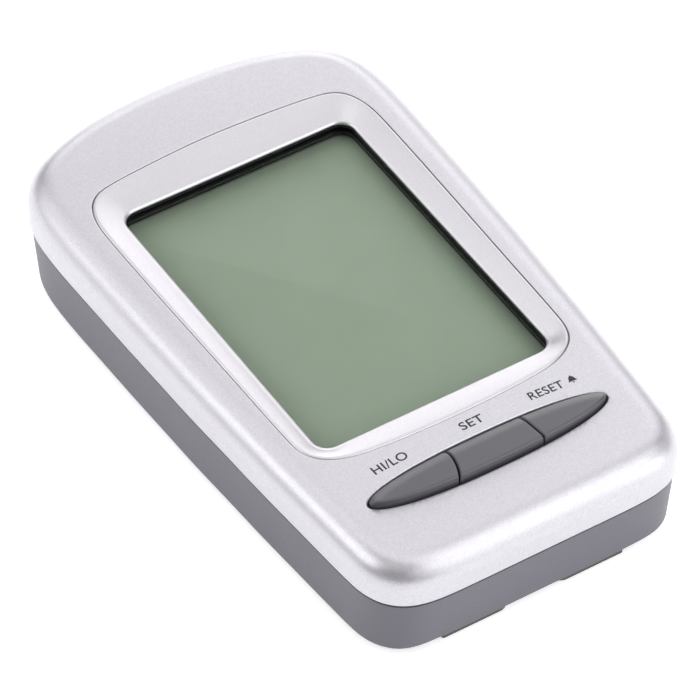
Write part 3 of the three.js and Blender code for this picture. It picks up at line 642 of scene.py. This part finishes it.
rings = [taper(at(rear_line(2.6), FLOOR + 1.9)), taper(at(rear_line(2.1), FLOOR + 2.05)), taper(at(rear_line(1.8), FLOOR + 2.5)), taper(at(rear_line(1.8), RIM)),
         taper(at(rear_line(0.4), RIM)), taper(at(rear_line(0.4), RIM - 0.34)), taper(at(rear_line(0.12), RIM - 0.38)), taper(at(rear_line(0.03), RIM - 0.43)), taper(at(rear_line(0.0), RIM - 0.55))]
for z in np.linspace(RIM - 1.5, FLOOR + 1.4, 8):
    rings.append(taper(at(rear_line(0.0), z)))
for d, f in [(0.6 * (1 - math.cos(t)), 0.6 * (1 - math.sin(t))) for t in np.linspace(0, math.pi / 2, 7)]:
    rings.append(taper(at(rear_line(d), FLOOR + f)))
tray = loft("rear_cover_tray", rings)

tongue = loft("u", [at(case.ring(2.1), RIM - 0.6), at(case.ring(2.1), RIM + 1.45), at(case.ring(2.25), RIM + 1.6), at(case.ring(2.95), RIM + 1.6), at(case.ring(3.1), RIM + 1.45), at(case.ring(3.1), RIM - 0.6)], closed=True)
PX, PY0, PY1 = 29.0, 6.2, 33.0
door_lo, door_hi = node("battery_cover")
plateau = plate("u", round_rect(2 * PX, PY1 - PY0, 3, 0, (PY0 + PY1) / 2, 10), 0.0, FLOOR + 1, 0.5, 0, 5)
screws = [(-24.4, -48.8), (24.4, -48.8), (-25.5, 40.6), (25.5, 40.6)]
boolean(tray, [tongue, plateau, rbox("u", -26.3, 26.3, 13.4, 28.6, FLOOR + 1, 13.8, 0.3), rbox("u", -19.55, 19.55, -2.5, 7.0, FLOOR + 1, 6.9, 0.3)]
        + [lathe("u", [(0, FLOOR + 0.5), (3.9, FLOOR + 0.5), (3.9, 13.2), (3.75, 13.3), (0, 13.3)], (x, y, 0)) for x, y in screws], "UNION")
cuts = [cutter(round_rect(35.5, 6.7, 0.5, 0, 2.25, 4), FLOOR, 5.5, 0.25),
        rbox("c", -25.1, 25.1, 14.6, 27.4, -3, 12.8, 0),
        rbox("c", -26.0, 26.0, 12.0, 34.5, -3, 1.8, 0),
        rbox("c", -27.2, 27.2, 12.0, 34.4, 0.6, 1.8, 0),
        lathe("c", [(0, -19.25), (1.25, -19.25), (1.25, 19.25), (0, 19.25)], (0, 1.5, 3.2), "x", 32)]
key_shape = []
for a in np.linspace(0, 2 * math.pi, 49)[:-1]:
    key_shape.append((4.3 * math.cos(a), 41.5 + 4.3 * math.sin(a)))
cuts.append(cutter(np.array(key_shape), FLOOR, 6, 0.3))
cuts.append(cutter(round_rect(4.4, 10.2, 2.19, 0, 44.4, 8), FLOOR, 6, 0.3))
for x, y in screws:
    cuts.append(cutter(circle(x, y, 2.7), FLOOR, 9.2, 0.3))
    cuts.append(lathe("c", [(0, 9.1), (1.4, 9.1), (1.4, 17), (0, 17)], (x, y, 0), n=24))
for i in range(5):
    cuts.append(cutter(round_rect(6.4, 1.3, 0.6, 24, -40.6 + (i - 2) * 2.5, 6), FLOOR, 6, 0.2))
holes = [(-13.6, 43)] + [(-13.6 + 2.6 * math.cos(i * math.pi / 3), 43 + 2.6 * math.sin(i * math.pi / 3)) for i in range(6)]
for x, y in holes:
    cuts.append(cutter(circle(x, y, 0.6, 20), FLOOR, 6, 0.18))
boolean(tray, cuts)
done(soften(tray, 34, weighted=True), "case", M["grey"], ["rear_cover"])

# ------------------------------------------------------------------ battery door
door = rbox("battery_door", door_lo[0] + 1.2, door_hi[0] - 1.2, door_lo[1], door_hi[1], door_lo[2], door_hi[2], 0)
boolean(door, [rbox("u", door_lo[0], door_hi[0], door_lo[1], door_hi[1] - 1, 0.9, door_hi[2] - 0.001, 0)], "UNION")
ribs = [rbox("c", -7 + 0.4 * abs(i - 1.5), 7 - 0.4 * abs(i - 1.5), 27.2 + i * 1.3, 27.9 + i * 1.3, -1, 0.45, 0) for i in range(4)]
arrow = make("c", [(x, y, z) for z in (-1, 0.3) for x, y in ((-2.4, 22.6), (2.4, 22.6), (0, 25.4))], [(0, 1, 2), (5, 4, 3), (0, 3, 4, 1), (1, 4, 5, 2), (2, 5, 3, 0)])
boolean(door, ribs + [arrow])
done(soften(door, 34, weighted=True, bevel=0.14, segments=3), "battery_cover", M["grey"], ["battery_cover"])

# ------------------------------------------------------------------ cell, spring, contact
c_lo, c_hi = node("battery")
cy, cz, r = (c_lo[1] + c_hi[1]) / 2, (c_lo[2] + c_hi[2]) / 2, (c_hi[2] - c_lo[2]) / 2
x0, x1 = c_lo[0], c_hi[0]
wrap = lathe("cell_wrap_tube", [(0, x0 + 0.25), (r - 1.1, x0 + 0.25), (r - 0.9, x0 + 0.05), (r - 0.45, x0), (r - 0.12, x0 + 0.12), (r, x0 + 0.45), (r, x0 + 31.0), (0, x0 + 31.0)], (0, cy, cz), "x", 64)
done(soften(wrap, 40), "case", M["cell"], ["battery"])
band = lathe("cell_wrap_band", [(0, x0 + 31.0), (r, x0 + 31.0), (r, x1 - 1.9), (r - 0.1, x1 - 1.5), (r - 0.45, x1 - 1.25), (r - 0.9, x1 - 1.3), (r - 1.0, x1 - 1.45), (0, x1 - 1.45)], (0, cy, cz), "x", 64)
done(soften(band, 40), "case", M["cell_band"])
tip = lathe("cell_plus_cap", [(0, x1 - 1.44), (r - 1.05, x1 - 1.44), (r - 1.2, x1 - 1.3), (2.3, x1 - 1.22), (2.0, x1 - 1.05), (1.9, x1 - 0.25), (1.7, x1 - 0.03), (0, x1)], (0, cy, cz), "x", 48)
done(soften(tip, 40), "case", M["steel"])


def tube(name, points, radius, sides=12, closed_ends=True):
    p = np.asarray(points, float)
    t = np.gradient(p, axis=0)
    t /= np.linalg.norm(t, axis=1)[:, None]
    ref = np.array([0.0, 0, 1]) if abs(t[0][2]) < 0.9 else np.array([1.0, 0, 0])
    rings = []
    u = np.cross(t[0], ref)
    u /= np.linalg.norm(u)
    for i in range(len(p)):
        u = u - t[i] * np.dot(u, t[i])
        u /= np.linalg.norm(u)
        w = np.cross(t[i], u)
        a = np.linspace(0, 2 * math.pi, sides, endpoint=False)[:, None]
        rings.append(p[i] + radius * (np.cos(a) * u + np.sin(a) * w))
    return loft(name, rings)


s_lo, s_hi = node("battery_spring")
t = np.linspace(0, 1, 160)
ang = t * 2 * math.pi * 3
rr = 3.6 - 1.6 * t
xs = s_lo[0] + 0.35 + (s_hi[0] - s_lo[0] - 0.7) * t
spring = tube("minus_spring", np.stack([xs, cy + rr * np.cos(ang), cz + rr * np.sin(ang)], 1), 0.28)
done(soften(spring, 60), "case", M["steel"], ["battery_spring"])
k_lo, k_hi = node("battery_contact")
tab = rbox("plus_contact_leaf", k_lo[0], k_lo[0] + 0.5, k_lo[1], k_hi[1], k_lo[2], k_hi[2], 0.12, 2)
dimple = lathe("u", [(0, k_lo[0] + 0.3), (1.2, k_lo[0] + 0.3), (1.2, k_hi[0] - 0.15), (1.0, k_hi[0]), (0, k_hi[0])], (0, cy, cz), "x", 32)
boolean(tab, [dimple], "UNION")
done(soften(tab, 40), "case", M["steel"], ["battery_contact"])

# ------------------------------------------------------------------ fold-out stand
st_lo, st_hi = node("stand")
w2, nt, y0, yn, y1, rn, ro, ri = 17.45, 4.25, st_lo[1], st_lo[1] + 12, 3.1, 3.0, 0.45, 2.2


def corner(cx, cy_, r_, a0, a1, n=8):
    return [(cx + r_ * math.cos(math.radians(a)), cy_ + r_ * math.sin(math.radians(a))) for a in np.linspace(a0, a1, n)]


outline = (corner(-w2 + ro, y0 + ro, ro, 180, 270) + corner(-nt - ri, y0 + ri, ri, 270, 360) + corner(-nt + rn, yn - rn, rn, 180, 90) + corner(nt - rn, yn - rn, rn, 90, 0)
           + corner(nt + ri, y0 + ri, ri, 180, 270) + corner(w2 - ro, y0 + ro, ro, 270, 360) + corner(w2 - 1, y1 - 1, 1, 0, 90, 5) + corner(-w2 + 1, y1 - 1, 1, 90, 180, 5))
leaf = plate("desk_stand_leaf", np.array(outline), st_lo[2], st_lo[2] + 1.4, 0.12, 0.42, 4)
boolean(leaf, [rbox("u", -w2 + 0.05, w2 - 0.05, 0.3, 2.7, 0.6, 3.2, 0), lathe("u", [(0, -w2), (1.55, -w2), (1.7, -w2 + 0.15), (1.7, w2 - 0.15), (1.55, w2), (0, w2)], (0, 1.5, 3.2), "x", 48),
               lathe("u", [(0, -w2 - 1.5), (0.85, -w2 - 1.5), (1.0, -w2 - 1.35), (1.0, w2 + 1.35), (0.85, w2 + 1.5), (0, w2 + 1.5)], (0, 1.5, 3.2), "x", 32)], "UNION")
lines = [rbox("c", -14.6, 14.6, y, y + 0.6, -1, 0.28, 0) for y in (-4.4, -6.2, -8.0)]
boolean(leaf, lines)
# the stand uses the darkened grey, which is painted shade on its toes
done(soften(leaf, 36, weighted=True), "stand", M["stand"], ["stand"])


# ------------------------------------------------------------------ screws
def screw(name, x, y, z, head_r, head_h, r_, length):
    p = [(0, z), (head_r - 0.25, z), (head_r - 0.06, z + 0.08), (head_r, z + 0.25), (head_r, z + head_h * 0.5), (r_, z + head_h)]
    k, zz = 0, z + head_h + 0.3
    while zz < z + head_h + length - 1.4:
        p += [(r_ * 0.78, zz), (r_, zz + 0.28), (r_ * 0.78, zz + 0.56)]
        zz += 0.62
    p += [(r_ * 0.78, z + head_h + length - 1), (0.05, z + head_h + length), (0, z + head_h + length)]
    ob = lathe(name, p, (x, y, 0), n=32)
    boolean(ob, [rbox("c", x - head_r * 0.62, x + head_r * 0.62, y - 0.24, y + 0.24, z - 1, z + 0.62, 0), rbox("c", x - 0.24, x + 0.24, y - head_r * 0.62, y + head_r * 0.62, z - 1, z + 0.62, 0)])
    return ob


for i in range(4):
    lo, hi = node(f"case_screw_{i + 1}")
    s = screw(f"case_screw_{i + 1}_turned", (lo[0] + hi[0]) / 2, (lo[1] + hi[1]) / 2, lo[2], 2.3, 1.3, 1.0, 9.5)
    done(soften(s, 36), "case", M["steel"], [f"case_screw_{i + 1}"])
    lo, hi = node(f"board_screw_{i + 1}")
    s = screw(f"board_screw_{i + 1}_turned", (lo[0] + hi[0]) / 2, (lo[1] + hi[1]) / 2, lo[2], 2.0, 1.0, 1.0, 6)
    done(soften(s, 36), "case", M["steel"], [f"board_screw_{i + 1}"])

# ------------------------------------------------------------------ carried-over inner pieces
INNER = {"circuit_board": "board", "controller_blob": "epoxy", "quartz_crystal": "steel", "capacitor": "can", "temperature_sensor": "bead", "keypad_mat": "rubber",
         "dome_left": "rubber", "dome_middle": "rubber", "dome_right": "rubber", "zebra_strip": "zebra", "piezo_buzzer": "brass", "buzzer_lead_black": "wire_black",
         "buzzer_lead_red": "red", "battery_lead_black": "wire_black", "battery_lead_red": "red"}
for name, m in INNER.items():
    o = nodes[name]
    o.data.materials.clear()
    o.data.materials.append(M[m])
    o.data.shade_smooth()
    o.data.set_sharp_from_angle(angle=math.radians(40))

# ------------------------------------------------------------------ floor, light, camera
scene = bpy.context.scene
me = bpy.data.meshes.new("floor")
me.from_pydata([(-20, -20, 0), (20, -20, 0), (20, 20, 0), (-20, 20, 0)], [], [(0, 1, 2, 3)])
floor = bpy.data.objects.new("floor", me)
scene.collection.objects.link(floor)
fm = bpy.data.materials.new("floor")
fm.use_nodes = True
fb = fm.node_tree.nodes["Principled BSDF"]
fb.inputs["Base Color"].default_value = (0.92, 0.92, 0.925, 1)
fb.inputs["Roughness"].default_value = 0.9
fb.inputs["Specular IOR Level"].default_value = 0.1
fb.inputs["Emission Color"].default_value = (1, 1, 1, 1)
fb.inputs["Emission Strength"].default_value = 0.56
me.materials.append(fm)

world = bpy.data.worlds.new("studio")
scene.world = world
world.use_nodes = True
world.node_tree.nodes["Background"].inputs["Color"].default_value = (1.0, 0.995, 1.0, 1)
world.node_tree.nodes["Background"].inputs["Strength"].default_value = 0.10



def softbox(name, direction, distance, size, power):
    """A round soft lamp that faces the object."""
    la = bpy.data.lights.new(name, "AREA")
    la.shape, la.size, la.energy = "DISK", size, power
    o = bpy.data.objects.new(name, la)
    d = Vector(direction).normalized()
    o.location = Vector((0, 0, (cad_lo.z + cad_hi.z) / 2)) + d * distance
    o.rotation_mode = "QUATERNION"
    o.rotation_quaternion = d.to_track_quat("Z", "Y")
    scene.collection.objects.link(o)
    return o


# (azimuth, elevation, power) of each lamp, in degrees round the middle of the table, and watts
LAMPS = [
    (0, 12, 0.94), (45, 12, 1.21), (135, 12, 1.22), (293, 18, 2.18), (315, 12, 2.83),
    (35, 38, 2.06), (67, 20, 2.55), (120, 35, 1.83), (160, 35, 4.20), (301, 45, 2.63),
    (325, 35, 0.53), (50, 62, 0.90), (100, 60, 1.80), (325, 62, 2.40), (0, 88, 1.40),
    (270, 35, 1.00), (210, 60, 0.80)]
for i, (az, el, power) in enumerate(LAMPS):
    a, e = math.radians(az), math.radians(el)
    softbox(f"lamp_{i + 1}", (math.cos(a) * math.cos(e), math.sin(a) * math.cos(e), math.sin(e)), 1.2, 0.75, power)

cam = bpy.data.objects.new("camera", bpy.data.cameras.new("camera"))
scene.collection.objects.link(cam)
cam.data.lens, cam.data.sensor_width = 282.9, 36.0
cam.location = (-0.3385, -0.5369, 0.6637)
cam.rotation_mode = "QUATERNION"
cam.rotation_quaternion = Vector((0.37145, 0.58733, -0.71908)).to_track_quat("-Z", "Y")
cam.data.clip_start, cam.data.clip_end = 0.01, 100
scene.camera = cam
scene.view_settings.view_transform = "Standard"
scene.view_settings.look = "None"
